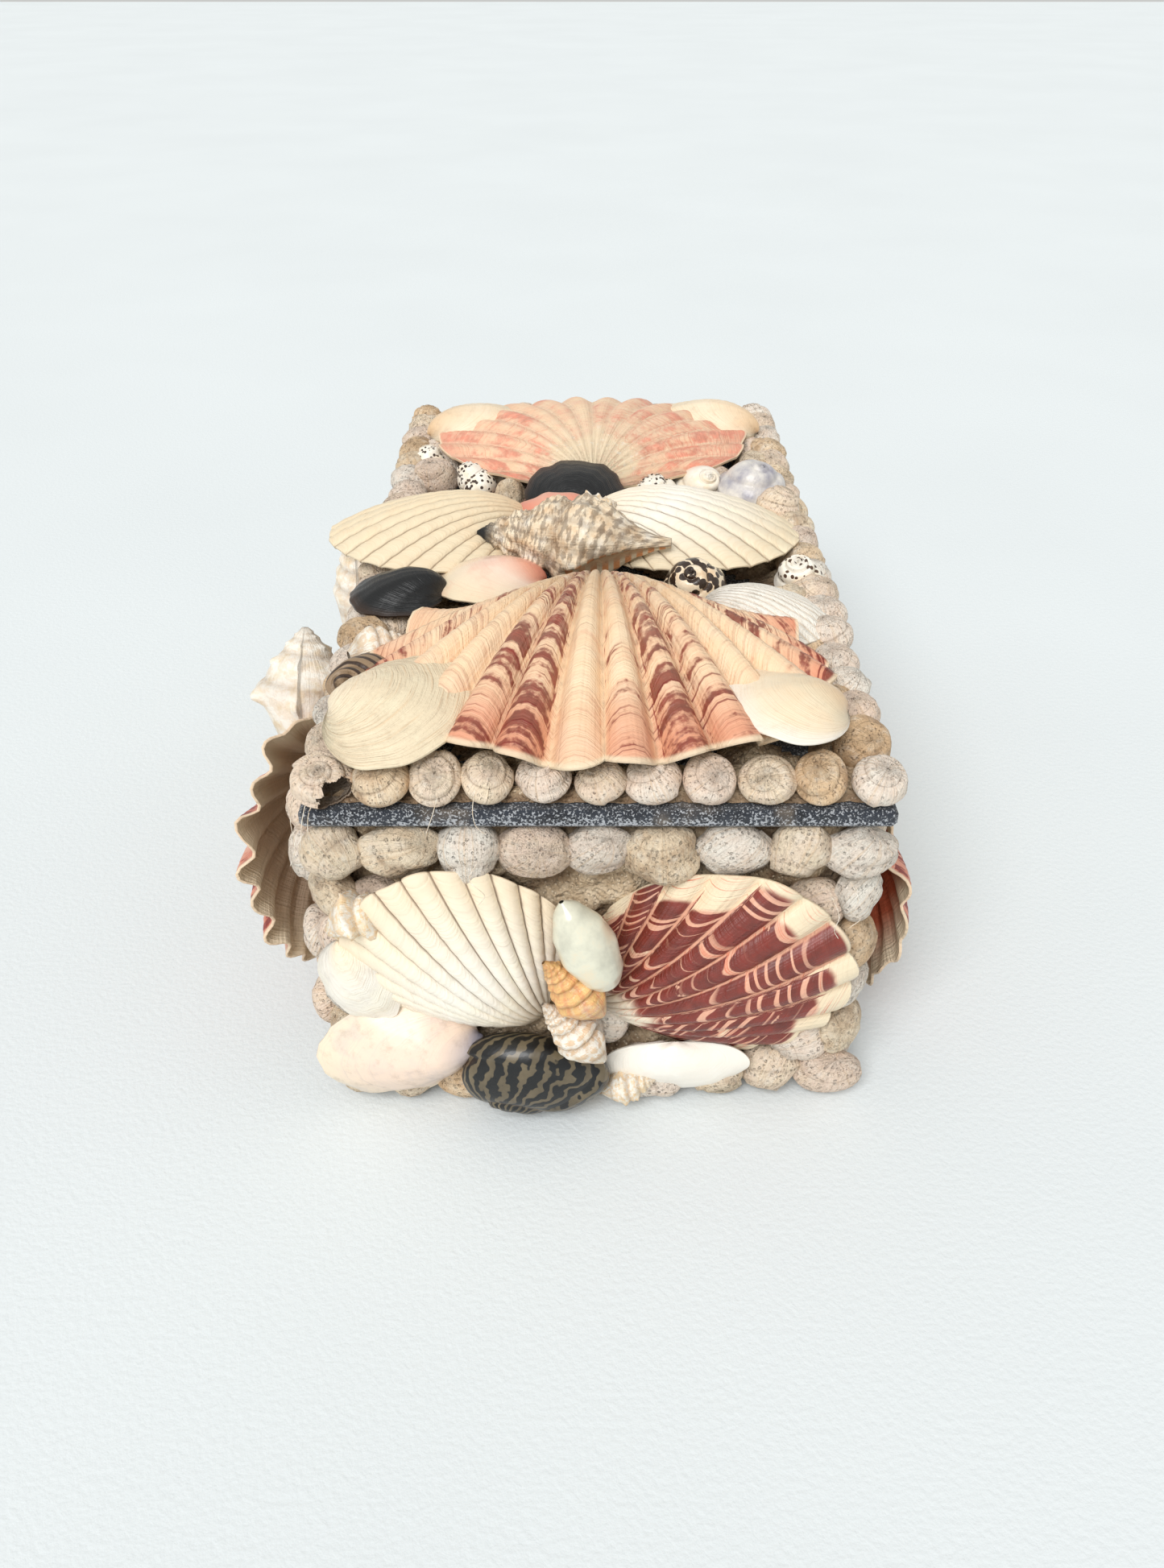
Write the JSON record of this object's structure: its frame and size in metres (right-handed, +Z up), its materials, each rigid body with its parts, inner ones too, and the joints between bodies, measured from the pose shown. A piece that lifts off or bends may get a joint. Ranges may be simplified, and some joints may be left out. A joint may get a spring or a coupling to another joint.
{
  "type": "shell box",
  "caption": "Hollow rectangular keepsake box with a flat lift-off lid, crusted all over with sea shells and edged with rows of small snail shells.",
  "frame": {"origin": "centre of the box's flat underside", "axes": "+Y along the box towards its back, +X to the right seen from the front, +Z up"},
  "size_m": [0.1552, 0.2493, 0.1095],
  "materials": {
    "board": "stiff board with a blue-black flocked surface",
    "snail": "bleached, pitted land snail shell",
    "scallop": "ribbed shell, cream banded with wine red, half matt",
    "cream": "ivory to yellow-cream shell, half matt",
    "white": "chalky to glossy white shell",
    "pink": "glossy salmon pink shell",
    "black": "glossy blue-black shell with fine lines",
    "speckled": "grey-brown and white speckled shell"
  },
  "bodies": {
    "root": {"back_clam_left": "cream", "back_clam_right": "cream", "back_scallop": "scallop", "back_snails_bottom": "snail", "back_snails_top": "snail", "box": "board", "corner_snails_back_left": "snail", "corner_snails_back_right": "snail", "corner_snails_front_left": "snail", "corner_snails_front_right": "snail", "front_ark_white": "white", "front_clam_left_low": "white", "front_clam_left_mid": "cream", "front_clam_white": "white", "front_nerite_striped": "black", "front_pale_shell": "white", "front_scallop_red": "scallop", "front_snails_bottom": "snail", "front_snails_top": "snail", "front_whelk_banded": "cream", "front_whelk_orange": "cream", "left_ark_back": "white", "left_conch": "cream", "left_pointed_shell": "white", "left_scallop_front": "scallop", "left_scallop_mid": "scallop", "left_snails_bottom": "snail", "left_snails_top": "snail", "lid": "board", "lid_ark_left": "cream", "lid_ark_right": "cream", "lid_banded_shell_left": "speckled", "lid_black_shell_centre": "black", "lid_black_shell_left": "black", "lid_clam_back_left": "cream", "lid_clam_back_right": "cream", "lid_clam_front_left": "cream", "lid_clam_front_right": "cream", "lid_cockle_right": "white", "lid_edge_shell_right": "snail", "lid_moon_shell": "white", "lid_nerite": "speckled", "lid_pink_shell_centre": "pink", "lid_pink_shell_left": "pink", "lid_scallop_back": "scallop", "lid_scallop_front": "scallop", "lid_snails_back": "snail", "lid_snails_front": "snail", "lid_snails_left": "snail", "lid_snails_right": "snail", "lid_spotted_shell_right": "speckled", "lid_triton": "speckled", "lid_white_shell_right": "white", "lid_white_whelk_left": "white", "right_ark_mid": "white", "right_clam_upper": "cream", "right_scallop_back": "scallop", "right_scallop_front": "scallop", "right_snails_bottom": "snail", "right_snails_top": "snail"}
  },
  "joints": []
}
